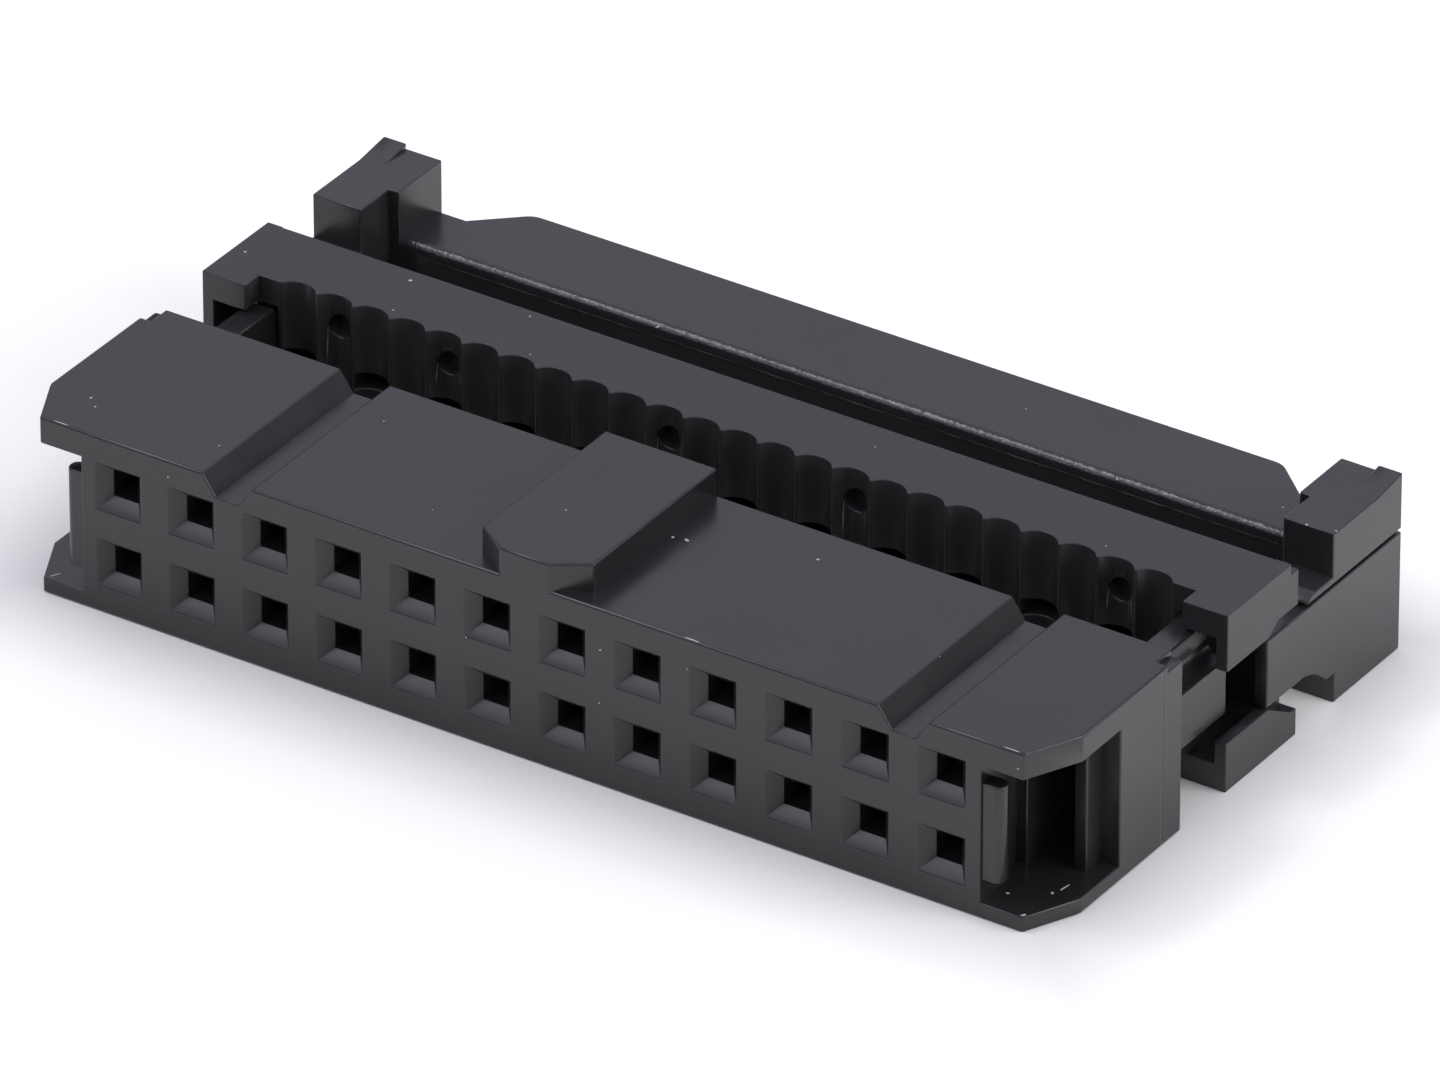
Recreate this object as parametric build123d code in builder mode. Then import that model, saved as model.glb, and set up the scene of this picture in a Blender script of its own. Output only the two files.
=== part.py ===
from build123d import *
import os

# Ribbon cable socket with two rows of contacts, a cover and a strain relief, in its open
# state: the cover and the strain relief stand one press away from the socket body.
# All sizes are millimetres. X runs along the rows, Y from the mating face to the cable
# side, and Z is up as the socket lies. The origin is the middle of the mating face.

# Contact grid
pitch = 2.54
columns = 12

# Socket body
body_depth = 7.0
body_height = 5.85
end_margin = 1.28
edge_round = 0.09

# Contact openings in the mating face
lead_in_size = 1.59
lead_in_depth = 0.42
opening_size = 0.85
front_wall = 1.2
chamber_depth = 1.65
cavity_clearance = 0.05

# Ears at the body's ends, each a pocket between two plates
ear_length = 2.25
ear_corner_x = 0.85
ear_corner_y = 1.75
top_plate = 0.87
bottom_plate = 0.5
cheek_depth = 1.9
cheek_round = 0.55
cheek_undercut = 0.35
sliver_gap = 0.55
pillar_reach = 0.62
pillar_setback = 0.1
pillar_thickness = 0.55
pillar_round = 0.25
pillar_headroom = 0.6
pillar_footroom = 0.7
well_wall = 2.0
rib_length = 2.0
rib_flank = 0.75
rib_thickness = 0.42
rib_gap = 0.63
corner_step_x = 0.4
corner_step_y = 0.8
corner_step_z = 0.22

# Grooves across the top
groove_width = 1.75
groove_floor = 0.8
groove_depth = 0.68

# Polarising key on the top
key_width = 3.8
key_height = 0.9
key_corner_x = 1.08
key_corner_y = 0.71

# Contacts, stamped from sheet
sheet = 0.3
pin_gap = 0.5
prong_width = 0.37
prong_setback = 0.25
mouth_flare = 0.2
mouth_length = 0.4
waist_length = 1.15
waist_overlap = 0.2
barb_reach = 0.08
barb_length = 0.4
barb_setback = 0.35
joggle_length = 0.5
fork_z = 0.4
fork_width = 1.1
fork_reach = 1.9
fork_corner = 0.2
fork_gap = 0.2
fork_gap_setback = 0.25
fork_mouth = 0.1
fork_mouth_length = 0.4

# Cover
cover_gap = 2.36
cover_thickness = 3.38
seat_clearance = 0.06
ridge_setback = 0.71
ridge_margin = 0.74
scallop_width = 1.19
scallop_depth = 0.33
slot_clearance = 0.1
tab_width = 0.55
tab_length = 0.4
tab_drop = 0.35
notch_wall = 0.4
notch_top = 1.05
notch_bottom = 1.33
flare_bottom = 0.72
mark_diameter = 0.75
mark_height = 1.88
mark_depth = 0.45

# End posts that guide the cover and the strain relief
post_inset = 0.2
post_clearance = 0.1
post_entry = 0.86
post_tip = 0.2
column_thickness = 0.85
column_height = 3.9
shelf_height = 1.8
shelf_round = 0.5

# Strain relief
relief_gap = 1.88
arm_thickness = 0.45
arm_clearance = 0.08
arm_setback = 0.35
slit = 0.11
block_width = 1.7
block_depth = 3.72
block_step = 0.35
block_top = 2.75
nose_width = 1.0
nose_length = 1.37
nose_front = 0.5
nose_height = 0.24
nose_clearance = 0.25
nose_rise_share = 0.65
ledge_length = 0.5
foot_setback = 0.15
heel_length = 1.25
heel_flat = 0.4
lip_width = 0.8
lip_length = 1.3
bar_setback = 1.45
bar_depth = 3.3
bar_height = 2.4
bar_round = 0.32
shoulder_flat = 1.4
shoulder_slope = 1.5
shoulder_depth = 1.35
shoulder_round = 0.7

# Middle point of the curved nose and heel: share of the length, and of the heel's rise
curve_along = 0.5
curve_rise = 0.3

# Grid and body, worked out
half_height = body_height / 2
row_z = pitch / 2
ways = 2 * columns
wire_pitch = pitch / 2
wire_shift = wire_pitch / 2
core_half = (columns - 1) * pitch / 2 + end_margin
half_length = core_half + ear_length
groove_columns = (2, columns - 1)
mark_wires = (1, 4, 10, 15, ways - 2)

# Contact, worked out from the mating face to the tip of the fork
prong_outer = pin_gap / 2 + prong_width
cavity_width = 2 * (prong_outer + barb_reach + cavity_clearance)
chamber_start = body_depth - chamber_depth
prong_start = front_wall + prong_setback
waist_end = chamber_start + waist_overlap
prong_root = waist_end - waist_length
barb_start = prong_root + barb_setback
fork_start = waist_end + joggle_length
fork_tip = body_depth + fork_reach

# Cover and strain relief, worked out from front to back
cover_press = cover_gap - seat_clearance
relief_press = relief_gap - seat_clearance
cover_front = body_depth + cover_gap
ridge_y = cover_front + ridge_setback
cover_back = cover_front + cover_thickness
tab_back = cover_back + tab_length
block_front = tab_back + relief_gap
block_back = block_front + block_depth
foot_front = block_front + foot_setback
bar_front = block_front + bar_setback
bar_back = bar_front + bar_depth
arm_front = cover_front + arm_setback + relief_press
nose_start = block_front - nose_length
heel_end = foot_front - heel_flat
heel_start = heel_end - heel_length

# Posts, notches and arms, worked out across the ends
arm_inner = half_length - arm_thickness
arm_top = notch_top - arm_clearance
arm_bottom = notch_bottom - arm_clearance
nose_base = arm_top + slit
nose_top = nose_base + nose_height
heel_bottom = arm_bottom + flare_bottom
post_inner = core_half + post_inset
column_outer = post_inner + column_thickness
shelf_outer = arm_inner - post_clearance
scallop_half = ways * wire_pitch / 2
ridge_half = scallop_half + ridge_margin

facing_back = Plane(origin=(0, 0, 0), x_dir=(1, 0, 0), z_dir=(0, 1, 0))
both_rows = (1, -1)


def contact_plane(column_x, side):
    """Plane of a contact: X across the contact, Y to the cable, Z out to its own row."""
    return Plane(origin=(column_x, 0, 0), x_dir=(side, 0, 0), z_dir=(0, 0, side))


def column_position(column):
    """Place of a column along the row, counted from the left."""
    return (column - (columns - 1) / 2) * pitch


# Socket body: a black moulding with the contact cavities, an ear with a pocket at each end,
# two grooves and the key on top, and a guide post at each end of the cable side
with BuildPart() as body:
    with BuildSketch(Plane.XY.offset(-half_height)):
        with BuildLine():
            Polyline(
                (0, 0),
                (half_length - ear_corner_x, 0),
                (half_length, ear_corner_y),
                (half_length, body_depth),
                (0, body_depth),
            )
            mirror(about=Plane.YZ)
        make_face()
    extrude(amount=body_height)
    long_edges = body.edges().filter_by(Axis.X).filter_by(lambda e: e.length > ear_length)
    fillet(long_edges, edge_round)
    fillet(body.edges().filter_by(Axis.Z).group_by(Axis.Y)[-1], edge_round)

    # Ear pockets, drawn in plan: cheek, well, guide rib and the gap beside the rib
    rib_outer = half_length - rib_gap
    rib_inner = rib_outer - rib_thickness
    well_depth = body_depth - well_wall
    rib_front = well_depth - rib_length
    pocket_depth = rib_front + rib_flank
    with BuildSketch(Plane.XY.offset(bottom_plate - half_height)):
        with BuildLine():
            Polyline(
                (half_length, 0),
                (core_half, 0),
                (core_half, cheek_depth - cheek_round),
            )
            RadiusArc(
                (core_half, cheek_depth - cheek_round),
                (core_half - cheek_undercut, cheek_depth),
                -cheek_round,
            )
            Polyline(
                (core_half - cheek_undercut, cheek_depth),
                (core_half - cheek_undercut, cheek_depth + sliver_gap),
                (core_half, cheek_depth + sliver_gap),
                (core_half, well_depth),
                (rib_inner, well_depth),
                (rib_inner, rib_front),
                (rib_outer, rib_front),
                (rib_outer, pocket_depth),
                (half_length, pocket_depth),
                (half_length, 0),
            )
        make_face()
        mirror(about=Plane.YZ)
    extrude(amount=body_height - top_plate - bottom_plate, mode=Mode.SUBTRACT)

    # Pillar on the wall in the mouth of each ear, clear of both plates
    with BuildSketch(Plane.XY.offset(bottom_plate + pillar_footroom - half_height)) as pillar_plan:
        with Locations((core_half + pillar_reach / 2, pillar_setback + pillar_thickness / 2)):
            Rectangle(pillar_reach, pillar_thickness)
        fillet(pillar_plan.vertices().group_by(Axis.X)[-1], pillar_round)
        mirror(about=Plane.YZ)
    extrude(amount=body_height - top_plate - bottom_plate - pillar_headroom - pillar_footroom)

    # Grooves across the top, from the mating face to the cable side
    with BuildSketch(Plane.XZ):
        for column in groove_columns:
            groove_x = column_position(column) - pitch / 2
            with BuildLine():
                Polyline(
                    (groove_x - groove_width / 2, half_height + edge_round),
                    (groove_x - groove_width / 2, half_height),
                    (groove_x - groove_floor / 2, half_height - groove_depth),
                    (groove_x + groove_floor / 2, half_height - groove_depth),
                    (groove_x + groove_width / 2, half_height),
                    (groove_x + groove_width / 2, half_height + edge_round),
                    close=True,
                )
            make_face()
    extrude(amount=-body_depth, mode=Mode.SUBTRACT)

    # Key, with its front corners cut off
    with BuildSketch(Plane.XY.offset(half_height - edge_round)):
        with BuildLine():
            Polyline(
                (0, 0),
                (key_width / 2 - key_corner_x, 0),
                (key_width / 2, key_corner_y),
                (key_width / 2, body_depth),
                (0, body_depth),
            )
            mirror(about=Plane.YZ)
        make_face()
    extrude(amount=key_height + edge_round)
    fillet(body.edges().group_by(Axis.Z)[-1], edge_round)

    # Low step on the rear corners of the ears
    with BuildSketch(Plane.XY.offset(half_height)):
        with Locations((half_length - corner_step_x / 2, body_depth - corner_step_y / 2)):
            Rectangle(corner_step_x, corner_step_y)
        mirror(about=Plane.YZ)
    extrude(amount=-corner_step_z, mode=Mode.SUBTRACT)

    # Contact openings: a tapered lead-in, a square throat, a cavity and a chamber
    with BuildSketch(facing_back):
        with GridLocations(pitch, pitch, columns, 2):
            Rectangle(lead_in_size, lead_in_size)
    lead_in_angle = Vector(lead_in_depth, (lead_in_size - opening_size) / 2).get_angle(Vector(1, 0))
    extrude(amount=lead_in_depth, taper=lead_in_angle, mode=Mode.SUBTRACT)
    with BuildSketch(facing_back):
        with GridLocations(pitch, pitch, columns, 2):
            Rectangle(opening_size, opening_size)
    extrude(amount=front_wall, mode=Mode.SUBTRACT)
    with BuildSketch(facing_back.offset(front_wall)):
        with GridLocations(pitch, pitch, columns, 2):
            Rectangle(cavity_width, opening_size)
    extrude(amount=chamber_start - front_wall, mode=Mode.SUBTRACT)
    chamber_reach = wire_shift + fork_width / 2 + cavity_clearance
    chamber_low = fork_z - sheet / 2 - cavity_clearance
    chamber_high = row_z + opening_size / 2
    for side in both_rows:
        with BuildSketch(facing_back.offset(chamber_start)):
            middle_x = side * (cavity_width / 2 - chamber_reach) / 2
            middle_z = -side * (chamber_low + chamber_high) / 2
            with Locations((middle_x, middle_z)):
                with GridLocations(pitch, 1, columns, 1):
                    Rectangle(chamber_reach + cavity_width / 2, chamber_high - chamber_low)
        extrude(amount=chamber_depth, mode=Mode.SUBTRACT)

    # Guide posts: a tall column with a lower shelf on its outer side
    with BuildSketch(facing_back.offset(body_depth)) as post_section:
        with Locations(((post_inner + column_outer) / 2, 0)):
            Rectangle(column_thickness, column_height)
        with Locations(((column_outer + shelf_outer) / 2, 0)):
            Rectangle(shelf_outer - column_outer, shelf_height)
        inner_corners = post_section.vertices().group_by(Axis.X)[1].sort_by(Axis.Y)[1:3]
        fillet(inner_corners, min(shelf_round, shelf_outer - column_outer - edge_round))
        mirror(about=Plane.YZ)
    extrude(amount=cover_gap + post_entry)
    tip_edges = body.edges().group_by(Axis.Y)[-1]
    chamfer(tip_edges.group_by(Axis.Z)[0] + tip_edges.group_by(Axis.Z)[-1], post_tip)

body.part.label = "socket_body"


def make_contact(column, side):
    """One contact: a pin receptacle, a waist with barbs, and a fork that cuts into its wire."""
    plane = contact_plane(column_position(column), side)
    gap_left = -wire_shift - fork_gap / 2
    gap_right = -wire_shift + fork_gap / 2
    fork_left = -wire_shift - fork_width / 2
    fork_right = -wire_shift + fork_width / 2
    with BuildPart() as contact:
        # Receptacle, level with the opening
        with BuildSketch(plane.offset(row_z - sheet / 2)):
            with BuildLine():
                Polyline(
                    (-prong_outer, waist_end),
                    (-prong_outer, barb_start + barb_length),
                    (-prong_outer - barb_reach, barb_start + barb_length),
                    (-prong_outer, barb_start),
                    (-prong_outer, prong_start),
                    (-pin_gap / 2 - mouth_flare, prong_start),
                    (-pin_gap / 2, prong_start + mouth_length),
                    (-pin_gap / 2, prong_root),
                    (pin_gap / 2, prong_root),
                    (pin_gap / 2, prong_start + mouth_length),
                    (pin_gap / 2 + mouth_flare, prong_start),
                    (prong_outer, prong_start),
                    (prong_outer, barb_start),
                    (prong_outer + barb_reach, barb_start + barb_length),
                    (prong_outer, barb_start + barb_length),
                    (prong_outer, waist_end),
                    close=True,
                )
            make_face()
        extrude(amount=sheet)
        # Fork, on the level of its wire
        with BuildSketch(plane.offset(fork_z - sheet / 2)):
            with BuildLine():
                Polyline(
                    (fork_left, fork_start),
                    (fork_left, fork_tip - fork_corner),
                    (fork_left + fork_corner, fork_tip),
                    (gap_left - fork_mouth, fork_tip),
                    (gap_left, fork_tip - fork_mouth_length),
                    (gap_left, body_depth + fork_gap_setback),
                    (gap_right, body_depth + fork_gap_setback),
                    (gap_right, fork_tip - fork_mouth_length),
                    (gap_right + fork_mouth, fork_tip),
                    (fork_right - fork_corner, fork_tip),
                    (fork_right, fork_tip - fork_corner),
                    (fork_right, fork_start),
                    close=True,
                )
            make_face()
        extrude(amount=sheet)
        # Joggle between the two levels
        joggle_plane = Plane(
            origin=plane.from_local_coords(Vector(-prong_outer, 0, 0)),
            x_dir=(0, 1, 0),
            z_dir=plane.x_dir,
        )
        with BuildSketch(joggle_plane):
            with BuildLine():
                Polyline(
                    (waist_end - sheet, row_z - sheet / 2),
                    (waist_end - sheet, row_z + sheet / 2),
                    (waist_end, row_z + sheet / 2),
                    (fork_start + sheet / 2, fork_z + sheet / 2),
                    (fork_start + sheet / 2, fork_z - sheet / 2),
                    (fork_start, fork_z - sheet / 2),
                    (waist_end - sheet / 2, row_z - sheet / 2),
                    close=True,
                )
            make_face()
        extrude(amount=fork_right + prong_outer)
    contact.part.label = f"contact_{2 * column + (1 if side > 0 else 2):02d}"
    return contact.part


# Cover: a scalloped bar that presses the ribbon onto the forks, with a forked guide at each end
with BuildPart() as cover:
    with BuildSketch(Plane.XY.offset(-half_height)):
        with BuildLine():
            Polyline(
                (0, ridge_y),
                (ridge_half, ridge_y),
                (ridge_half, cover_front),
                (half_length, cover_front),
                (half_length, tab_back),
                (half_length - tab_width, tab_back),
                (half_length - tab_width, cover_back),
                (0, cover_back),
            )
            mirror(about=Plane.YZ)
        make_face()
    extrude(amount=body_height)
    back_edges = cover.edges().filter_by(Axis.X).filter_by(lambda e: e.length > scallop_half)
    fillet(back_edges.group_by(Axis.Y)[-1], edge_round)

    # One scallop for each wire
    scallop_radius = (scallop_width**2 / 4 + scallop_depth**2) / (2 * scallop_depth)
    with BuildSketch(Plane.XY.offset(-half_height)):
        with Locations((0, ridge_y + scallop_depth - scallop_radius)):
            with GridLocations(wire_pitch, 1, ways, 1):
                Circle(scallop_radius)
    extrude(amount=body_height, mode=Mode.SUBTRACT)

    # Slots that the forks enter when the cover is pressed home
    slot_width = fork_width + 2 * slot_clearance
    slot_height = sheet + 2 * slot_clearance
    slot_end = fork_tip + cover_press + slot_clearance
    for side in both_rows:
        with BuildSketch(facing_back.offset(cover_front)):
            with Locations((-side * wire_shift, -side * fork_z)):
                with GridLocations(pitch, 1, columns, 1):
                    Rectangle(slot_width, slot_height)
        extrude(amount=slot_end - cover_front, mode=Mode.SUBTRACT)

    # Round marks near the top of five scallops
    with BuildSketch(facing_back.offset(cover_front)):
        for wire in mark_wires:
            with Locations(((wire - (ways - 1) / 2) * wire_pitch, -mark_height)):
                Circle(mark_diameter / 2)
    extrude(amount=ridge_setback + scallop_depth + mark_depth, mode=Mode.SUBTRACT)

    # End notches: room for the guide posts inside, and for the arms at the outer wall
    notch_inner = post_inner - post_clearance
    notch_height = column_height + 2 * post_clearance
    with BuildSketch(facing_back.offset(cover_front)):
        with Locations(((notch_inner + half_length - notch_wall) / 2, 0)):
            Rectangle(half_length - notch_wall - notch_inner, notch_height)
        mirror(about=Plane.YZ)
    extrude(amount=tab_back - cover_front, mode=Mode.SUBTRACT)
    recess_start = nose_start - relief_press - nose_clearance
    recess_top = nose_top + arm_clearance
    notch_flare_bottom = heel_start - relief_press - arm_clearance
    with BuildSketch(Plane.YZ.offset(half_length - notch_wall)):
        with BuildLine():
            Polyline(
                (cover_front, notch_top),
                (cover_front, -notch_bottom),
                (notch_flare_bottom, -notch_bottom),
                (notch_flare_bottom + heel_length, -notch_bottom - flare_bottom),
                (block_front, -notch_bottom - flare_bottom),
                (block_front, recess_top),
                (recess_start + nose_front, recess_top),
                (recess_start, notch_top),
                close=True,
            )
        make_face()
    right_notch = extrude(amount=notch_wall, mode=Mode.SUBTRACT)
    mirror(right_notch, about=Plane.YZ, mode=Mode.SUBTRACT)

    # Rear wall of each post's pocket, beside the arm and below the nose
    pocket_end = cover_front + post_entry + cover_press + seat_clearance
    with BuildSketch(Plane.XY.offset(-half_height)):
        with Locations(((notch_inner + shelf_outer) / 2, (pocket_end + tab_back) / 2)):
            Rectangle(shelf_outer - notch_inner, tab_back - pocket_end)
        mirror(about=Plane.YZ)
    extrude(amount=half_height + nose_base - arm_clearance)

    # The tabs behind the ends are lower than the cover's top
    with BuildSketch(Plane.XY.offset(half_height)):
        with Locations((0, (cover_back + tab_back) / 2)):
            Rectangle(2 * half_length, tab_length)
    extrude(amount=-tab_drop, mode=Mode.SUBTRACT)

cover.part.label = "cover"


# Strain relief: a bar that clamps the folded ribbon, with an end block, a foot and a
# springy arm at each end
with BuildPart() as relief:
    # Right end: block and foot
    with BuildSketch(Plane.YZ.offset(half_length - block_width)):
        with BuildLine():
            Polyline(
                (block_front, block_top),
                (block_back, block_top),
                (block_back, -half_height),
                (foot_front, -half_height),
                (foot_front, -heel_bottom),
                (block_front, -heel_bottom),
                close=True,
            )
        make_face()
    extrude(amount=block_width)
    # Wider rear part of the block, where the bar meets it
    with BuildSketch(Plane.XY.offset(-half_height)):
        with Locations((half_length - block_width - block_step / 2, (bar_front + block_back) / 2)):
            Rectangle(block_step, block_back - bar_front)
    extrude(amount=half_height + block_top)
    # Nose in front of the block, above the arm, and a ledge behind it as wide as the block
    with BuildSketch(Plane.YZ.offset(half_length - nose_width)):
        with BuildLine():
            ThreePointArc(
                (nose_start, nose_base),
                (nose_start + curve_along * nose_front, nose_base + nose_rise_share * nose_height),
                (nose_start + nose_front, nose_top),
            )
            Polyline(
                (nose_start + nose_front, nose_top),
                (foot_front, nose_top),
                (foot_front, nose_base),
                (nose_start, nose_base),
            )
        make_face()
    extrude(amount=nose_width)
    with BuildSketch(Plane.YZ.offset(half_length - block_width)):
        with BuildLine():
            Polyline(
                (block_front - ledge_length, nose_base),
                (block_front - ledge_length, nose_top),
                (foot_front, nose_top),
                (foot_front, nose_base),
                close=True,
            )
        make_face()
    extrude(amount=block_width)
    # Arm along the outer wall
    with BuildSketch(Plane.YZ.offset(arm_inner)):
        with BuildLine():
            Polyline(
                (arm_front, arm_top),
                (arm_front, -arm_bottom),
                (heel_start, -arm_bottom),
            )
            ThreePointArc(
                (heel_start, -arm_bottom),
                (heel_start + curve_along * heel_length, -arm_bottom - curve_rise * flare_bottom),
                (heel_end, -heel_bottom),
            )
            Polyline(
                (heel_end, -heel_bottom),
                (block_back, -heel_bottom),
                (block_back, arm_top),
                (arm_front, arm_top),
            )
        make_face()
    extrude(amount=arm_thickness)
    # Slit that frees the arm from the block
    with BuildSketch(Plane.YZ.offset(arm_inner)):
        with BuildLine():
            Polyline(
                (nose_start, arm_top),
                (block_back, arm_top),
                (block_back, nose_base),
                (nose_start, nose_base),
                close=True,
            )
        make_face()
    extrude(amount=arm_thickness, mode=Mode.SUBTRACT)
    # Lip that rises to the rear outer corner of the block
    with BuildSketch(Plane.YZ.offset(half_length - lip_width)):
        with BuildLine():
            Polyline(
                (block_back - lip_length, block_top),
                (block_back, half_height),
                (block_back, block_top),
                close=True,
            )
        make_face()
    extrude(amount=lip_width)
    mirror(about=Plane.YZ)

    # Bar between the blocks, with sloped shoulders at the back
    bar_half = half_length - block_width
    shoulder_y = bar_back - shoulder_depth
    with BuildSketch(Plane.XY.offset(-bar_height / 2)) as bar_plan:
        with BuildLine():
            Polyline(
                (0, bar_front),
                (bar_half, bar_front),
                (bar_half, shoulder_y),
                (bar_half - shoulder_flat, shoulder_y),
                (bar_half - shoulder_flat - shoulder_slope, bar_back),
                (0, bar_back),
            )
            mirror(about=Plane.YZ)
        make_face()
        fillet(bar_plan.vertices().group_by(Axis.Y)[-1], shoulder_round)
    extrude(amount=bar_height)
    long_edges = relief.edges().filter_by(Axis.X).filter_by(lambda e: e.length > half_length)
    fillet(long_edges.group_by(Axis.Y)[0], bar_round)

relief.part.label = "strain_relief"


pieces = [body.part, cover.part, relief.part]
for column in range(columns):
    for side in both_rows:
        pieces.append(make_contact(column, side))

os.makedirs("parts", exist_ok=True)
for piece in pieces:
    export_step(piece, f"parts/{piece.label}.step")
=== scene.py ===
import math
import random

import bmesh
import bpy
from mathutils import Matrix, Vector


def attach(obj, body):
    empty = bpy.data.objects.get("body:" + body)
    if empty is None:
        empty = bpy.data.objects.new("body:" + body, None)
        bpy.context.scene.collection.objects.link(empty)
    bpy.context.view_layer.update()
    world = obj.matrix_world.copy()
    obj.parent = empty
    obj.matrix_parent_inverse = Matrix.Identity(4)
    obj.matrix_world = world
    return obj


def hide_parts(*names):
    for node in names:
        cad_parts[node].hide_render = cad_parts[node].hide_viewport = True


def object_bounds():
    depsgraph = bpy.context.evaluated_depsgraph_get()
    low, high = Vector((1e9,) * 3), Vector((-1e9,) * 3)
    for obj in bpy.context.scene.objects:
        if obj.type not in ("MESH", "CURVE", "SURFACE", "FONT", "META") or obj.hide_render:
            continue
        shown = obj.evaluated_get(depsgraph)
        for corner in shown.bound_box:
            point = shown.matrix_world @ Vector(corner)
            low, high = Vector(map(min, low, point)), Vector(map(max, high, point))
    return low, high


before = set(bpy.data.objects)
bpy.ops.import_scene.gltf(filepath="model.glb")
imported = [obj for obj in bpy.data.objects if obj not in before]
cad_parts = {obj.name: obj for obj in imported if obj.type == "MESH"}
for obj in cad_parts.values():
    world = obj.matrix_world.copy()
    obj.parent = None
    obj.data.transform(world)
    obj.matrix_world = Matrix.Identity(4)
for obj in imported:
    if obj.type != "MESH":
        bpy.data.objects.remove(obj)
cad_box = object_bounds()

# The studio: a white sweep under a cool sky that darkens near the horizon, a fill and a small
# key light high on the left, a wide box on the right for the end faces, and a long lens that
# looks down on the connector's front right corner.
MM = 0.001
camera_turn = math.radians(33.296)
camera_rise = math.radians(31.153)
camera_distance = 507.93 * MM
camera_target = Vector((3.410, 4.848, 3.026)) * MM
lens_mm = 449.9
sensor_mm = 36
clip_near, clip_far = 0.01, 10
floor_size = 3.0
floor_colour = (0.95, 0.92, 0.89)
floor_roughness = 0.9
floor_specular = 0.1
floor_glow = 0.22
shade_width = 3.5 * MM
high_sky = (0.72, 0.755, 0.88, 1)
low_sky = (0.15, 0.155, 0.17, 1)
horizon_span = (0.26, 0.46)
lamp_distance = 0.36
fill_direction = Vector((-0.47, -0.42, 0.77))
fill_size = 0.16
fill_watts = 0.10
key_direction = Vector((-0.47, -0.20, 0.86))
key_size = 0.08
key_watts = 0.12
right_direction = Vector((0.86, 0.20, 0.45))
right_size = 0.22
right_watts = 0.54
right_colour = (1.0, 0.95, 0.90)


def look_at(thing, place, target):
    """Puts a camera or a lamp at a place, facing the target."""
    thing.location = place
    thing.rotation_euler = (target - place).to_track_quat("-Z", "Y").to_euler()


towards_camera = Vector((
    math.sin(camera_turn) * math.cos(camera_rise),
    -math.cos(camera_turn) * math.cos(camera_rise),
    math.sin(camera_rise),
))
lens = bpy.data.cameras.new("long_lens")
lens.lens = lens_mm
lens.sensor_width = sensor_mm
lens.clip_start = clip_near
lens.clip_end = clip_far
camera = bpy.data.objects.new("camera", lens)
bpy.context.collection.objects.link(camera)
look_at(camera, camera_target + camera_distance * towards_camera, camera_target)
bpy.context.scene.camera = camera


def soft_box(name, direction, size, watts, colour=(1, 1, 1)):
    """A square area lamp in a direction from the connector, facing it."""
    lamp = bpy.data.lights.new(name, "AREA")
    lamp.color = colour
    lamp.size = size
    lamp.energy = watts
    box = bpy.data.objects.new(name, lamp)
    bpy.context.collection.objects.link(box)
    look_at(box, camera_target + lamp_distance * direction.normalized(), camera_target)


soft_box("fill_box", fill_direction, fill_size, fill_watts)
soft_box("key_box", key_direction, key_size, key_watts)
soft_box("right_box", right_direction, right_size, right_watts, right_colour)

sky = bpy.data.worlds.new("cool_sky")
bpy.context.scene.world = sky
sky.use_nodes = True
sky_tree = sky.node_tree
sky_direction = sky_tree.nodes.new("ShaderNodeSeparateXYZ")
sky_place = sky_tree.nodes.new("ShaderNodeTexCoord")
sky_tree.links.new(sky_place.outputs["Generated"], sky_direction.inputs["Vector"])
sky_height = sky_tree.nodes.new("ShaderNodeMapRange")
for name, height in zip(("From Min", "From Max"), horizon_span):
    sky_height.inputs[name].default_value = height
sky_tree.links.new(sky_direction.outputs["Z"], sky_height.inputs["Value"])
sky_mix = sky_tree.nodes.new("ShaderNodeMix")
sky_mix.data_type = "RGBA"
sky_tree.links.new(sky_height.outputs["Result"], sky_mix.inputs["Factor"])
FIRST_COLOUR, SECOND_COLOUR, MIXED_COLOUR = 6, 7, 2
sky_mix.inputs[FIRST_COLOUR].default_value = low_sky
sky_mix.inputs[SECOND_COLOUR].default_value = high_sky
sky_tree.links.new(sky_mix.outputs[MIXED_COLOUR], sky_tree.nodes["Background"].inputs["Color"])

floor_mesh = bpy.data.meshes.new("floor")
floor_form = bmesh.new()
bmesh.ops.create_grid(floor_form, x_segments=1, y_segments=1, size=floor_size / 2)
bmesh.ops.translate(floor_form, verts=floor_form.verts, vec=(0, 0, cad_box[0][2]))
floor_form.to_mesh(floor_mesh)
floor_form.free()
floor = bpy.data.objects.new("floor", floor_mesh)
bpy.context.collection.objects.link(floor)
floor_paint = bpy.data.materials.new("pale_floor")
floor_paint.use_nodes = True
floor_mesh.materials.append(floor_paint)
floor_shader = floor_paint.node_tree.nodes["Principled BSDF"]
floor_shader.inputs["Base Color"].default_value = (*floor_colour, 1)
floor_shader.inputs["Roughness"].default_value = floor_roughness
floor_shader.inputs["Specular IOR Level"].default_value = floor_specular
floor_shader.inputs["Emission Color"].default_value = (*floor_colour, 1)
floor_tree = floor_paint.node_tree


def floor_math(operation, first, second, clamp=False):
    """A math node of the floor's material; each operand is a number or a socket."""
    node = floor_tree.nodes.new("ShaderNodeMath")
    node.operation = operation
    node.use_clamp = clamp
    for socket, value in zip(node.inputs, (first, second)):
        if isinstance(value, float):
            socket.default_value = value
        else:
            floor_tree.links.new(value, socket)
    return node.outputs[0]


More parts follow.
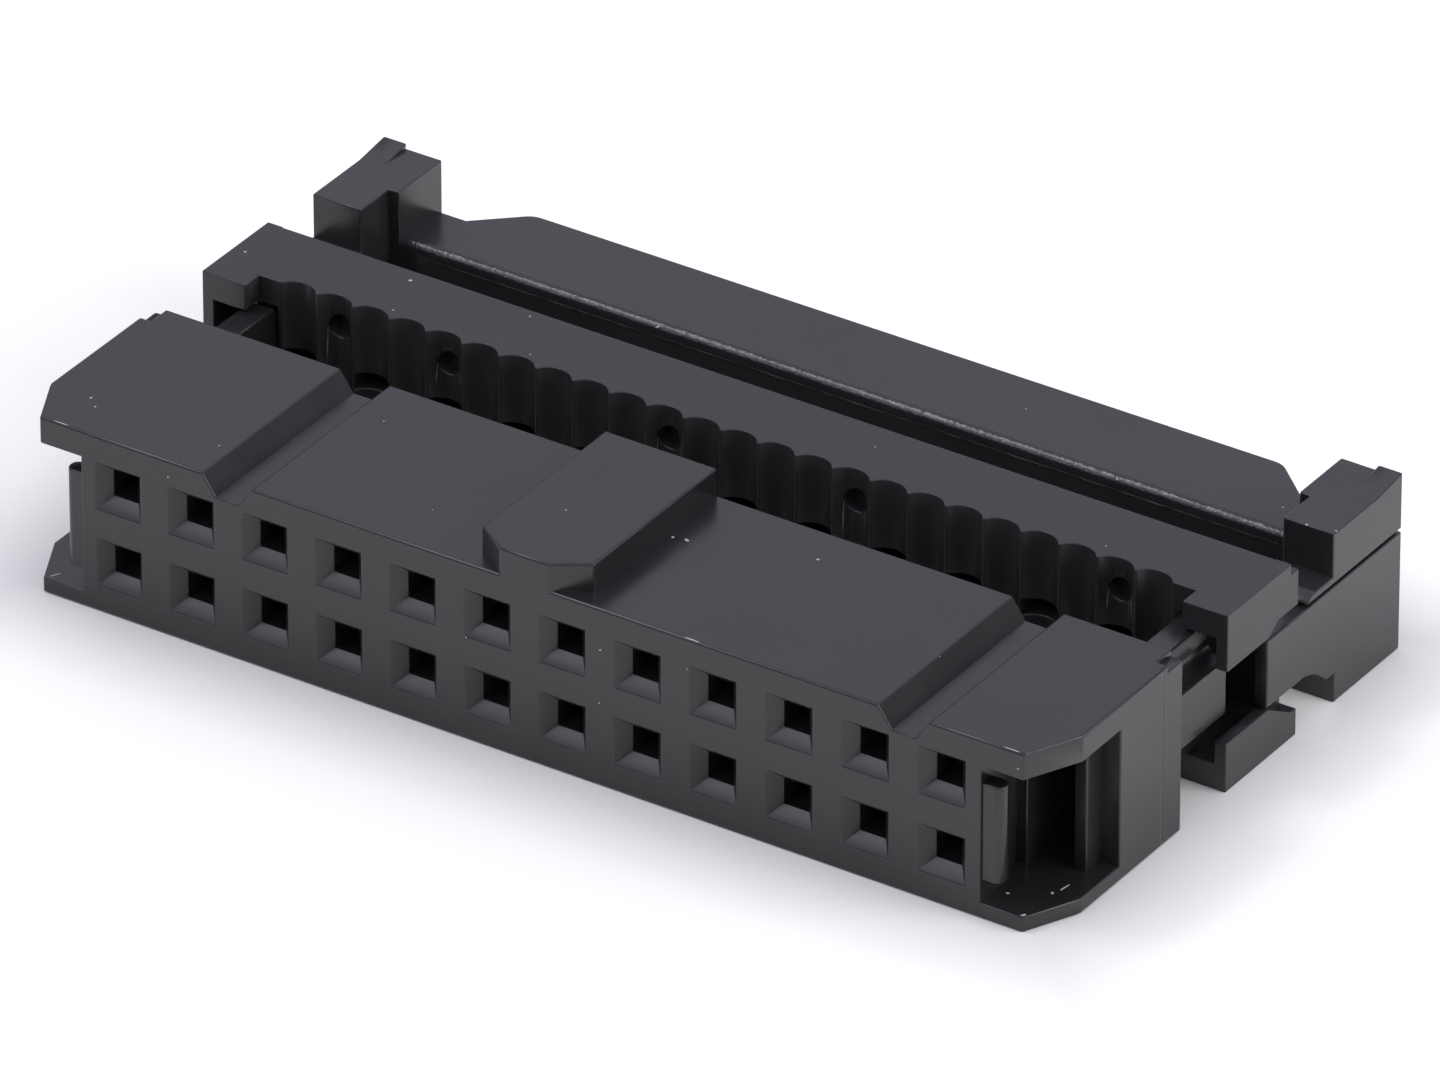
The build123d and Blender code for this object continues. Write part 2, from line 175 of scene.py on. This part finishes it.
# The floor glows for camera and mirror rays so that it looks evenly white; the glow fades to none
# towards the connector's footprint, a painted shade round and under the connector.
floor_place = floor_tree.nodes.new("ShaderNodeSeparateXYZ")
floor_coordinates = floor_tree.nodes.new("ShaderNodeTexCoord")
floor_tree.links.new(floor_coordinates.outputs["Object"], floor_place.inputs["Vector"])
away = []
for axis in (0, 1):
    middle = (cad_box[0][axis] + cad_box[1][axis]) / 2
    reach = (cad_box[1][axis] - cad_box[0][axis]) / 2
    offset = floor_math("SUBTRACT", floor_place.outputs[axis], middle)
    away.append(floor_math("SUBTRACT", floor_math("ABSOLUTE", offset, 0.0), reach))
# 0 at and under the footprint, 1 a shade width away: the painted shade near the connector.
painted_shade_fade = floor_math("DIVIDE", floor_math("MAXIMUM", *away), shade_width, clamp=True)
ray_kind = floor_tree.nodes.new("ShaderNodeLightPath")
is_camera, is_glossy, is_transmission = (
    ray_kind.outputs[f"Is {kind} Ray"] for kind in ("Camera", "Glossy", "Transmission")
)
mirrored = floor_math("ADD", is_glossy, is_transmission)
seen = floor_math("ADD", is_camera, mirrored, clamp=True)
glow = floor_math("MULTIPLY", floor_math("MULTIPLY", seen, painted_shade_fade), floor_glow)
floor_tree.links.new(glow, floor_shader.inputs["Emission Strength"])

bpy.context.scene.view_settings.view_transform = "Standard"


# Socket body: one black glass-filled moulding from a spark-eroded tool, so its faces have a fine
# satin skin, its edges a hair of rounding, and its front and ends small rub marks: paler edge
# stretches that are partly worn skin and partly a painted highlight.
weld_reach = 0.001 * MM
flat_angle = math.radians(0.5)
crisp_angle = math.radians(28)
rounding_steps = 2
flat_face_weight = 80
body_edge = 0.05 * MM


def softened(node_name, piece_name, edge_width, body_name, kept_crisp_at=None):
    """The node's shape as one clean mesh, its corners rounded as the mould leaves them.

    Edges that lie wholly at the Y of kept_crisp_at keep their corner."""
    form = bmesh.new()
    form.from_mesh(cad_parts[node_name].data)
    bmesh.ops.remove_doubles(form, verts=form.verts, dist=weld_reach)
    bmesh.ops.dissolve_limit(
        form, angle_limit=flat_angle, use_dissolve_boundaries=False,
        verts=form.verts, edges=form.edges,
    )
    crisp = [e for e in form.edges if e.is_convex and e.calc_face_angle(0) > crisp_angle]
    if kept_crisp_at:
        crisp = [
            e for e in crisp if any(abs(v.co.y - kept_crisp_at) > weld_reach for v in e.verts)
        ]
    rounding = bmesh.ops.bevel(
        form, geom=crisp, offset=edge_width, offset_type="OFFSET", segments=rounding_steps,
        profile=0.5, affect="EDGES", clamp_overlap=False, loop_slide=True, material=-1,
    )
    rounded_faces = set(rounding["faces"])
    for face in form.faces:
        face.smooth = True
    for edge in form.edges:
        rounded = edge.is_convex and any(face in rounded_faces for face in edge.link_faces)
        edge.smooth = rounded or edge.calc_face_angle(0) < crisp_angle
    mesh = bpy.data.meshes.new(piece_name)
    form.to_mesh(mesh)
    form.free()
    piece = bpy.data.objects.new(piece_name, mesh)
    bpy.context.collection.objects.link(piece)
    weighted = piece.modifiers.new("even_faces", "WEIGHTED_NORMAL")
    weighted.keep_sharp = True
    weighted.weight = flat_face_weight
    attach(piece, body_name)
    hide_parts(node_name)
    return piece


def add_node(tree, kind, **settings):
    """A shader node with its properties set."""
    node = tree.nodes.new(kind)
    for name, value in settings.items():
        setattr(node, name, value)
    return node


def product(tree, first, second):
    """The product of a socket and a number or another socket."""
    node = add_node(tree, "ShaderNodeMath", operation="MULTIPLY")
    tree.links.new(first, node.inputs[0])
    if isinstance(second, float):
        node.inputs[1].default_value = second
    else:
        tree.links.new(second, node.inputs[1])
    return node.outputs[0]


def remap(tree, value, low, high, to_low, to_high):
    """A clamped linear map of a socket's value from one span to another."""
    node = add_node(tree, "ShaderNodeMapRange")
    tree.links.new(value, node.inputs["Value"])
    span = {"From Min": low, "From Max": high, "To Min": to_low, "To Max": to_high}
    for name, number in span.items():
        node.inputs[name].default_value = number
    return node.outputs["Result"]


def noise(tree, place, scale, detail):
    """A noise texture on a place socket; its scale is a socket or a number per metre."""
    node = add_node(tree, "ShaderNodeTexNoise")
    tree.links.new(place, node.inputs["Vector"])
    if isinstance(scale, (int, float)):
        node.inputs["Scale"].default_value = scale
    else:
        tree.links.new(scale, node.inputs["Scale"])
    node.inputs["Detail"].default_value = detail
    return node.outputs["Fac"]


def blended(tree, mask, under, over):
    """A colour that goes from under to over with the mask; each is a colour or a socket."""
    node = add_node(tree, "ShaderNodeMix", data_type="RGBA")
    tree.links.new(mask, node.inputs["Factor"])
    for number, colour in ((FIRST_COLOUR, under), (SECOND_COLOUR, over)):
        if isinstance(colour, tuple):
            node.inputs[number].default_value = colour
        else:
            tree.links.new(colour, node.inputs[number])
    return node.outputs[MIXED_COLOUR]


def new_group(name, inputs, outputs):
    """A shader node group with named inputs and outputs, and its two end nodes."""
    group = bpy.data.node_groups.new(name, "ShaderNodeTree")
    for socket_name, kind in inputs:
        group.interface.new_socket(name=socket_name, in_out="INPUT", socket_type=kind)
    for socket_name, kind in outputs:
        group.interface.new_socket(name=socket_name, in_out="OUTPUT", socket_type=kind)
    return group, group.nodes.new("NodeGroupInput"), group.nodes.new("NodeGroupOutput")


NUMBER = "NodeSocketFloat"
VECTOR = "NodeSocketVector"

# Mould skin: fine spark grain, and the slow waves of plastic that cooled over ribs.
skin_group, skin_in, skin_out = new_group(
    "mould_skin",
    (("Grain Scale", NUMBER), ("Flow Scale", NUMBER)),
    (("Grain", NUMBER), ("Flow", NUMBER)),
)
skin_place = add_node(skin_group, "ShaderNodeTexCoord").outputs["Object"]
for scale_name, output_name, detail in (("Grain Scale", "Grain", 2), ("Flow Scale", "Flow", 3)):
    wave = noise(skin_group, skin_place, skin_in.outputs[scale_name], detail)
    skin_group.links.new(wave, skin_out.inputs[output_name])

# Edge rub and glint: the rounded edges lose their skin and turn a little paler, in broken
# stretches;
# the paler colour is partly that worn skin and partly a painted highlight along the edges.
edge_turn = (0.999, 0.9)
rub_and_glint_break = (0.52, 0.66)
rub_glint_group, rub_glint_in, rub_glint_out = new_group(
    "edge_rub_and_glint", (("Rounded Normal", VECTOR), ("Break Scale", NUMBER)), (("Rub And Glint", NUMBER),)
)
turn = add_node(rub_glint_group, "ShaderNodeVectorMath", operation="DOT_PRODUCT")
rub_glint_group.links.new(rub_glint_in.outputs["Rounded Normal"], turn.inputs[0])
flat_normal = add_node(rub_glint_group, "ShaderNodeNewGeometry").outputs["True Normal"]
rub_glint_group.links.new(flat_normal, turn.inputs[1])
on_edge = remap(rub_glint_group, turn.outputs["Value"], *edge_turn, 0, 1)
rub_glint_place = add_node(rub_glint_group, "ShaderNodeTexCoord").outputs["Object"]
rub_glint_noise = noise(rub_glint_group, rub_glint_place, rub_glint_in.outputs["Break Scale"], 4)
broken = remap(rub_glint_group, rub_glint_noise, *rub_and_glint_break, 0, 1)
rub_glint_group.links.new(product(rub_glint_group, on_edge, broken), rub_glint_out.inputs["Rub And Glint"])

# Fine dust: pale specks a few hundredths of a millimetre across, in a share of all cells.
dust_group, dust_in, dust_out = new_group(
    "fine_dust",
    (("Cell Scale", NUMBER), ("Share", NUMBER), ("Radius", NUMBER)),
    (("Speck", NUMBER),),
)
dust_place = add_node(dust_group, "ShaderNodeTexCoord").outputs["Object"]
cells = add_node(dust_group, "ShaderNodeTexVoronoi", feature="F1")
dust_group.links.new(dust_place, cells.inputs["Vector"])
dust_group.links.new(dust_in.outputs["Cell Scale"], cells.inputs["Scale"])
cell_draw = add_node(dust_group, "ShaderNodeSeparateColor")
dust_group.links.new(cells.outputs["Color"], cell_draw.inputs["Color"])
chosen = add_node(dust_group, "ShaderNodeMath", operation="LESS_THAN")
dust_group.links.new(cell_draw.outputs["Red"], chosen.inputs[0])
dust_group.links.new(dust_in.outputs["Share"], chosen.inputs[1])
near = add_node(dust_group, "ShaderNodeMath", operation="LESS_THAN")
dust_group.links.new(cells.outputs["Distance"], near.inputs[0])
dust_group.links.new(dust_in.outputs["Radius"], near.inputs[1])
speck = product(dust_group, chosen.outputs[0], near.outputs[0])
dust_group.links.new(speck, dust_out.inputs["Speck"])

socket_tones = ((0.0150, 0.0148, 0.0158, 1), (0.0190, 0.0187, 0.0202, 1))
# Paler colour of the edges: partly worn skin, partly a painted highlight.
rub_and_glint_colour = (0.060, 0.060, 0.062, 1)
speck_colour = (0.40, 0.39, 0.37, 1)
plastic_ior = 1.55
roughness_drift = 0.04
fade = 0.04 * MM
fine_grain = 22000
flow_scale = 320
flow_span = (0.3, 0.7)
flow_height = 6
skin_strength = 0.25
skin_depth = 0.002 * MM
rub_and_glint_radius = 0.06 * MM
rub_and_glint_scale = 900
rub_and_glint_strength = 0.6
dust_cells = 650
dust_share = 0.06
dust_radius = 0.03
witness_depth = -30


def black_moulding(
    name, seed, roughness, tones, gloss=None, witness=None, grain_scale=fine_grain
):
    """Black moulded plastic, mottled between a pair of tones.

    Gloss is ((front, back, top, half length) of the polished edge, roughness, grit height),
    and witness is the (Y, half width, least |X|) of a fine line across the ends."""
    material = bpy.data.materials.new(name)
    material.use_nodes = True
    tree = material.node_tree
    shader = tree.nodes["Principled BSDF"]
    shader.inputs["IOR"].default_value = plastic_ior
    skin = add_node(tree, "ShaderNodeGroup", node_tree=skin_group)
    skin.inputs["Grain Scale"].default_value = grain_scale
    skin.inputs["Flow Scale"].default_value = flow_scale + seed
    rounded = add_node(tree, "ShaderNodeBevel", samples=4)
    rounded.inputs["Radius"].default_value = rub_and_glint_radius
    rub_and_glint = add_node(tree, "ShaderNodeGroup", node_tree=rub_glint_group)
    tree.links.new(rounded.outputs["Normal"], rub_and_glint.inputs["Rounded Normal"])
    rub_and_glint.inputs["Break Scale"].default_value = rub_and_glint_scale + seed
    dust = add_node(tree, "ShaderNodeGroup", node_tree=dust_group)
    dust.inputs["Cell Scale"].default_value = dust_cells + seed
    dust.inputs["Share"].default_value = dust_share
    dust.inputs["Radius"].default_value = dust_radius

    tone = remap(tree, skin.outputs["Flow"], *flow_span, 0, 1)
    plain = blended(tree, tone, *tones)
    # Paler broken stretches along the edges: partly rub wear, partly a painted highlight.
    rubbed_and_glinting = blended(tree, product(tree, rub_and_glint.outputs["Rub And Glint"], rub_and_glint_strength), plain, rub_and_glint_colour)
    dusty = blended(tree, dust.outputs["Speck"], rubbed_and_glinting, speck_colour)
    tree.links.new(dusty, shader.inputs["Base Color"])

    place = add_node(tree, "ShaderNodeSeparateXYZ")
    tree.links.new(add_node(tree, "ShaderNodeTexCoord").outputs["Object"], place.inputs["Vector"])
    drift = (roughness - roughness_drift, roughness + roughness_drift)
    dull = remap(tree, skin.outputs["Flow"], *flow_span, *drift)
    if gloss:
        (front, back, top, half_length), polish, grit_height = gloss
        reach = add_node(tree, "ShaderNodeMath", operation="ABSOLUTE")
        tree.links.new(place.outputs["X"], reach.inputs[0])
        on_bar = product(
            tree,
            remap(tree, reach.outputs[0], half_length, half_length + fade, 1, 0),
            remap(tree, place.outputs["Z"], top, top + fade, 1, 0),
        )
        at_front = product(tree, on_bar, remap(tree, place.outputs["Y"], front, back, 1, 0))
        polished = add_node(tree, "ShaderNodeMix", data_type="FLOAT")
        tree.links.new(at_front, polished.inputs["Factor"])
        tree.links.new(dull, polished.inputs[2])
        polished.inputs[3].default_value = polish
        dull = polished.outputs[0]
    tree.links.new(dull, shader.inputs["Roughness"])

    skin_height = add_node(tree, "ShaderNodeMath", operation="MULTIPLY_ADD")
    tree.links.new(skin.outputs["Flow"], skin_height.inputs[0])
    skin_height.inputs[1].default_value = flow_height
    tree.links.new(skin.outputs["Grain"], skin_height.inputs[2])
    height = skin_height.outputs[0]
    if gloss:
        grit = add_node(tree, "ShaderNodeMath", operation="MULTIPLY_ADD")
        off_face = remap(tree, place.outputs["Y"], front, front + fade, 0, 1)
        gritty = product(tree, off_face, product(tree, at_front, skin.outputs["Grain"]))
        tree.links.new(gritty, grit.inputs[0])
        grit.inputs[1].default_value = grit_height
        tree.links.new(height, grit.inputs[2])
        height = grit.outputs[0]
    if witness:
        line_y, half_width, least_x = witness
        off_line = add_node(tree, "ShaderNodeMath", operation="SUBTRACT")
        tree.links.new(place.outputs["Y"], off_line.inputs[0])
        off_line.inputs[1].default_value = line_y
        distance = add_node(tree, "ShaderNodeMath", operation="ABSOLUTE")
        tree.links.new(off_line.outputs[0], distance.inputs[0])
        line = remap(tree, distance.outputs[0], 0, half_width, 1, 0)
        side = add_node(tree, "ShaderNodeMath", operation="ABSOLUTE")
        tree.links.new(place.outputs["X"], side.inputs[0])
        on_end = add_node(tree, "ShaderNodeMath", operation="GREATER_THAN")
        tree.links.new(side.outputs[0], on_end.inputs[0])
        on_end.inputs[1].default_value = least_x
        cut = add_node(tree, "ShaderNodeMath", operation="MULTIPLY_ADD")
        tree.links.new(product(tree, line, on_end.outputs[0]), cut.inputs[0])
        cut.inputs[1].default_value = witness_depth
        tree.links.new(height, cut.inputs[2])
        height = cut.outputs[0]
    bump = add_node(tree, "ShaderNodeBump")
    bump.inputs["Strength"].default_value = skin_strength
    bump.inputs["Distance"].default_value = skin_depth
    tree.links.new(height, bump.inputs["Height"])
    tree.links.new(bump.outputs["Normal"], shader.inputs["Normal"])
    return material


witness_line = (5.95 * MM, 0.05 * MM, 17.4 * MM)
lead_in_end = 0.42 * MM
body_roughness = 0.25
socket_body = softened("socket_body", "socket_moulding", body_edge, "socket", lead_in_end)
socket_body.data.materials.append(
    black_moulding("socket_black", 0, body_roughness, socket_tones, witness=witness_line)
)


# Contacts: stamped from spring copper alloy with a thin plating, so the flat faces carry
# rolling lines and the alloy shows a little through. Twenty-four sit in the body's cavities.
plating_colour = (0.80, 0.66, 0.40, 1)
tarnish_colour = (0.48, 0.36, 0.20, 1)
rolling_stretch = (1, 0.05, 1)
rolling_scale = 16000
rolling_roughness = (0.24, 0.40)
rolling_strength = 0.25
rolling_depth = 0.004 * MM
tarnish_scale = 1400
tarnish_span = (0.45, 0.75)
tarnish_strength = 0.6
metal_edge_radius = 0.03 * MM
contact_metal = bpy.data.materials.new("plated_alloy")
contact_metal.use_nodes = True
metal_tree = contact_metal.node_tree
metal_shader = metal_tree.nodes["Principled BSDF"]
metal_shader.inputs["Metallic"].default_value = 1
metal_place = add_node(metal_tree, "ShaderNodeTexCoord").outputs["Object"]
rolling = add_node(metal_tree, "ShaderNodeMapping")
rolling.inputs["Scale"].default_value = rolling_stretch
metal_tree.links.new(metal_place, rolling.inputs["Vector"])
rolled = noise(metal_tree, rolling.outputs["Vector"], rolling_scale, 3)
tarnish_noise = noise(metal_tree, metal_place, tarnish_scale, 4)
tarnished = remap(metal_tree, tarnish_noise, *tarnish_span, 0, tarnish_strength)
metal_colour = blended(metal_tree, tarnished, plating_colour, tarnish_colour)
metal_tree.links.new(metal_colour, metal_shader.inputs["Base Color"])
metal_dull = remap(metal_tree, rolled, *flow_span, *rolling_roughness)
metal_tree.links.new(metal_dull, metal_shader.inputs["Roughness"])
metal_edge = add_node(metal_tree, "ShaderNodeBevel", samples=4)
metal_edge.inputs["Radius"].default_value = metal_edge_radius
metal_bump = add_node(metal_tree, "ShaderNodeBump")
metal_bump.inputs["Strength"].default_value = rolling_strength
metal_bump.inputs["Distance"].default_value = rolling_depth
metal_tree.links.new(rolled, metal_bump.inputs["Height"])
metal_tree.links.new(metal_edge.outputs["Normal"], metal_bump.inputs["Normal"])
metal_tree.links.new(metal_bump.outputs["Normal"], metal_shader.inputs["Normal"])
for name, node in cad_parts.items():
    if name.startswith("contact_"):
        node.data.materials.clear()
        node.data.materials.append(contact_metal)


# Cover: the scalloped bar that presses the ribbon onto the forks, a second black moulding of
# the same material, with crisper cusps between its scallops than the body's edges.
cover_edge = 0.04 * MM
cover_roughness = 0.35
cover_tones = ((0.0205, 0.0203, 0.0218, 1), (0.0245, 0.0243, 0.0262, 1))
cover = softened("cover", "cover_moulding", cover_edge, "cover")
cover.data.materials.append(black_moulding("cover_black", 17, cover_roughness, cover_tones))


# Strain relief: the bar that clamps the folded ribbon, a third black moulding. The ribbon slides
# over the rounded front of its bar, so the tool is polished there and the edge shines.
relief_edge = 0.05 * MM
relief_tones = ((0.0200, 0.0197, 0.0208, 1), (0.0240, 0.0237, 0.0252, 1))
bar_front = 16.47 * MM
polish_end = 16.90 * MM
polish_roughness = 0.16
polish_grit = 45
relief_roughness = 0.26
relief_grain = 9000
bar_top = 1.20 * MM
bar_half_length = 15.80 * MM
polished_bar = (bar_front, polish_end, bar_top, bar_half_length)
polished_edge = (polished_bar, polish_roughness, polish_grit)
strain_relief = softened("strain_relief", "relief_moulding", relief_edge, "strain_relief")
strain_relief.data.materials.append(
    black_moulding(
        "relief_black", 31, relief_roughness, relief_tones, polished_edge, grain_scale=relief_grain
    )
)


# Flash ridge: the hair of plastic that the mould's parting line leaves along the bar's front,
# just under its rounded edge, thicker and thinner along its length.
flash_half = 15.40 * MM
flash_height = 0.80 * MM
flash_proud = 0.03 * MM
flash_cuts = 90
proud_spread = (0.5, 1.3)
thick_spread = (0.6, 1.4)
flash_form = bmesh.new()
bmesh.ops.create_cube(flash_form, size=1)
flash_size = (2 * flash_half, 2 * flash_proud, flash_proud)
bmesh.ops.scale(flash_form, vec=flash_size, verts=flash_form.verts)
long_edges = [
    e for e in flash_form.edges if abs(e.verts[0].co.x - e.verts[1].co.x) > flash_half
]
bmesh.ops.subdivide_edges(flash_form, edges=long_edges, cuts=flash_cuts, use_grid_fill=True)
flash_draw = random.Random(5)
for vert in flash_form.verts:
    vert.co.y *= flash_draw.uniform(*proud_spread)
    vert.co.z *= flash_draw.uniform(*thick_spread)
bmesh.ops.translate(flash_form, vec=(0, bar_front, flash_height), verts=flash_form.verts)
flash_mesh = bpy.data.meshes.new("relief_flash")
flash_form.to_mesh(flash_mesh)
flash_form.free()
flash = bpy.data.objects.new("relief_flash", flash_mesh)
bpy.context.collection.objects.link(flash)
flash_mesh.materials.append(strain_relief.data.materials[0])
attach(flash, "strain_relief")


# Dust: pale grains and short fibres that settled on the three mouldings, mostly on the ears,
# round the key and along the rounded bar. Each grain lies on the face that carries it.
grain_flatness = 0.35
grain_spread = (0.8, 1.2)
grain_roughness = 0.9
grain_tone_scale = 9000
grey_grain = (0.30, 0.29, 0.27, 1)
pale_grain = (0.75, 0.73, 0.70, 1)
dust_material = bpy.data.materials.new("pale_dust")
dust_material.use_nodes = True
dust_tree = dust_material.node_tree
dust_shader = dust_tree.nodes["Principled BSDF"]
dust_shader.inputs["Roughness"].default_value = grain_roughness
grain_place = add_node(dust_tree, "ShaderNodeTexCoord").outputs["Object"]
dust_tone = noise(dust_tree, grain_place, grain_tone_scale, 2)
dust_colour = blended(dust_tree, dust_tone, grey_grain, pale_grain)
dust_tree.links.new(dust_colour, dust_shader.inputs["Base Color"])
UP, FRONT = Vector((0, 0, 1)), Vector((0, -1, 0))


def dust_grains(name, body_name, seed, grains):
    """Flat grains on one body, each (x, y, z, way its face looks, width, length) in millimetres.

    A fibre has its turn from the X axis, in degrees, as a seventh value."""
    draw = random.Random(seed)
    form = bmesh.new()
    for x, y, z, way, width, length, *turn in grains:
        verts = bmesh.ops.create_icosphere(form, subdivisions=1, radius=0.5)["verts"]
        for vert in verts:
            vert.co *= draw.uniform(*grain_spread)
        size = Vector((length, width, width * grain_flatness)) * MM
        bmesh.ops.scale(form, vec=size, verts=verts)
        free_turn = draw.uniform(0, math.pi)
        turned = Matrix.Rotation(math.radians(turn[0]) if turn else free_turn, 3, "Z")
        lying = UP.rotation_difference(way).to_matrix()
        bmesh.ops.rotate(form, cent=(0, 0, 0), matrix=lying @ turned, verts=verts)
        bmesh.ops.translate(form, vec=Vector((x, y, z)) * MM, verts=verts)
    mesh = bpy.data.meshes.new(name)
    form.to_mesh(mesh)
    form.free()
    piece = bpy.data.objects.new(name, mesh)
    bpy.context.collection.objects.link(piece)
    mesh.materials.append(dust_material)
    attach(piece, body_name)


dust_grains("dust_on_socket", "socket", 11, (
    (-16.04, 1.68, 2.925, UP, 0.07, 0.10), (-15.65, 1.33, 2.925, UP, 0.06, 0.09),
    (-15.95, 0.06, 2.925, UP, 0.04, 0.55, 0), (-11.45, 1.49, 2.925, UP, 0.05, 0.07),
    (-12.20, 0.00, 2.39, FRONT, 0.06, 0.07), (-11.15, 6.15, 2.90, UP, 0.07, 0.10),
    (-0.39, 2.72, 3.825, UP, 0.06, 0.06), (2.12, 4.38, 2.925, UP, 0.10, 0.12),
    (2.54, 4.47, 2.925, UP, 0.11, 0.22), (-1.99, 0.00, 0.48, FRONT, 0.04, 0.06),
    (2.56, 0.00, 1.58, FRONT, 0.05, 0.12), (5.62, 0.06, 2.92, UP, 0.06, 0.60, 0),
    (5.49, 0.00, 1.94, FRONT, 0.05, 0.06), (8.80, 0.05, 2.87, UP, 0.05, 0.06),
    (9.53, 0.05, 2.87, UP, 0.04, 0.06), (2.52, 0.00, -0.18, FRONT, 0.05, 0.07),
    (16.47, 0.00, 2.40, FRONT, 0.06, 0.08), (15.63, 0.87, -2.425, UP, 0.10, 0.12),
    (16.66, 1.55, -2.425, UP, 0.10, 0.12), (16.80, 2.01, -2.425, UP, 0.07, 0.55, 81),
    (16.60, 0.14, -2.425, UP, 0.09, 0.20), (16.22, 0.05, 2.925, UP, 0.04, 0.60, 0),
    (-16.44, 0.28, -2.425, UP, 0.06, 0.40, 64), (-8.3, 5.2, 2.925, UP, 0.04, 0.06),
    (11.9, 3.1, 2.925, UP, 0.04, 0.05), (-4.4, 1.9, 2.925, UP, 0.04, 0.05),
))
dust_grains("dust_on_cover", "cover", 12, (
    (-17.06, 10.93, 2.925, UP, 0.07, 0.10), (-11.60, 10.53, 2.925, UP, 0.06, 0.08),
    (-12.13, 12.20, 2.925, UP, 0.11, 0.14), (-8.10, 12.40, 2.925, UP, 0.05, 0.08),
    (-6.90, 10.60, 2.925, UP, 0.05, 0.07), (4.20, 11.70, 2.925, UP, 0.04, 0.06),
    (12.60, 10.70, 2.925, UP, 0.05, 0.06),
))
dust_grains("dust_on_relief", "strain_relief", 13, (
    (16.57, 15.05, 2.75, UP, 0.08, 0.09), (17.45, 15.21, 2.75, UP, 0.06, 0.09),
    (14.18, 17.69, 1.20, UP, 0.06, 0.08), (-6.40, 16.55, 1.10, UP, 0.06, 0.30),
    (1.70, 16.58, 1.12, UP, 0.05, 0.25), (9.30, 16.56, 1.11, UP, 0.05, 0.20),
    (5.10, 18.30, 1.20, UP, 0.04, 0.05),
))
